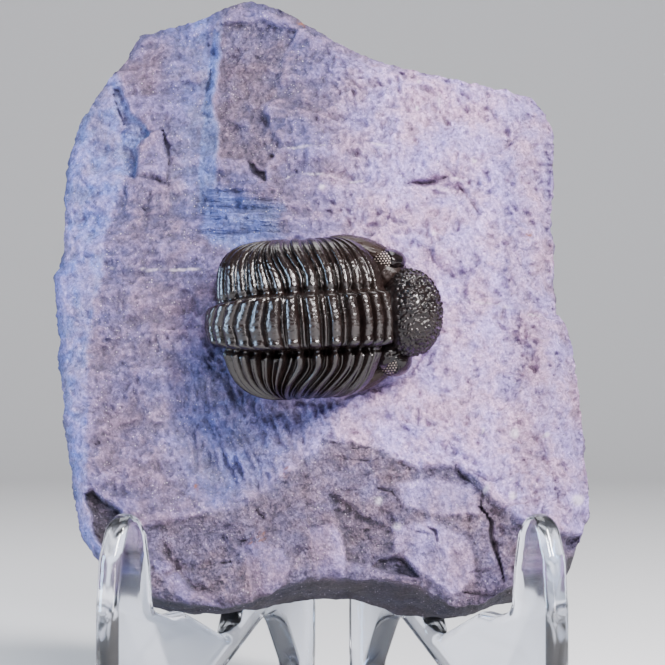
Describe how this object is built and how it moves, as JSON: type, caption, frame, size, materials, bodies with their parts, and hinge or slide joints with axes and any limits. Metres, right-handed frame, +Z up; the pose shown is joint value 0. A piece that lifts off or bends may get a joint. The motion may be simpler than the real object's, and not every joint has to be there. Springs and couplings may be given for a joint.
{
  "type": "fossil adrisiops trilobite",
  "caption": "Arched black trilobite with bumpy head and ribbed back on a mauve-grey limestone slab, leaning on a clear plastic display easel.",
  "frame": {"origin": "middle of the bounding box of slab, fossil and easel, on the surface the easel stands on", "axes": "+Z up; the slab's fossil side faces -Y and leans back towards +Y; +X to the viewer's right"},
  "size_m": [0.094, 0.0642, 0.1265],
  "materials": {
    "limestone": "matte",
    "fossil_black": "satin",
    "clear_plastic": "gloss"
  },
  "bodies": {
    "root": {"matrix_slab": "limestone", "trilobite": "fossil_black", "stand_left_frame": "clear_plastic", "stand_right_frame": "clear_plastic"}
  },
  "joints": []
}
